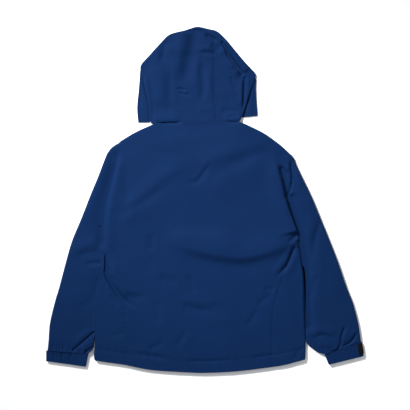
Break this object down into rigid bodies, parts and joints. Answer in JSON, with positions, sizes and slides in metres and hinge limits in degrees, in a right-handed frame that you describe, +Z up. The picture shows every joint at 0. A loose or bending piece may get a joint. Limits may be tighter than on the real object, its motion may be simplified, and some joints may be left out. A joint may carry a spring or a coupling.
{
  "type": "hooded jacket",
  "caption": "Plain navy hooded jacket with light padding, laid flat on its front, hood spread above; gathered cuffs with hook-and-loop tabs and a front zip.",
  "frame": {"origin": "middle of the laid jacket's outline, on the surface that it lies on", "axes": "+X across the jacket to the right as seen from above, +Y from the hem to the hood, +Z up from the surface; the jacket's back faces +Z and its front faces -Z"},
  "size_m": [0.8918, 0.971, 0.0174],
  "materials": {
    "navy_shell": "matte fine plain weave",
    "black_hook_loop": "matte pile",
    "zip_tape": "matte woven tape",
    "zip_metal": "dark satin"
  },
  "bodies": {
    "jacket": {"back": "navy_shell", "front_left": "navy_shell", "front_right": "navy_shell", "sleeve_left": "navy_shell", "sleeve_right": "navy_shell", "cuff_left": "navy_shell", "cuff_right": "navy_shell", "cuff_tab_left": "black_hook_loop", "cuff_tab_right": "black_hook_loop", "hood_center": "navy_shell", "hood_left": "navy_shell", "hood_right": "navy_shell", "hood_front_left": "navy_shell", "hood_front_right": "navy_shell", "front_zip": "zip_tape", "zip_slider": "zip_metal"},
    "pull_tab": {"zip_pull": "zip_metal"}
  },
  "joints": [
    {"name": "pull_tab_hinge", "type": "hinge", "parent": "jacket", "child": "pull_tab", "pos_m": [-0.02, 0.122, 0.00145], "axis": [1, 0, 0], "range_deg": [0, 170]}
  ]
}
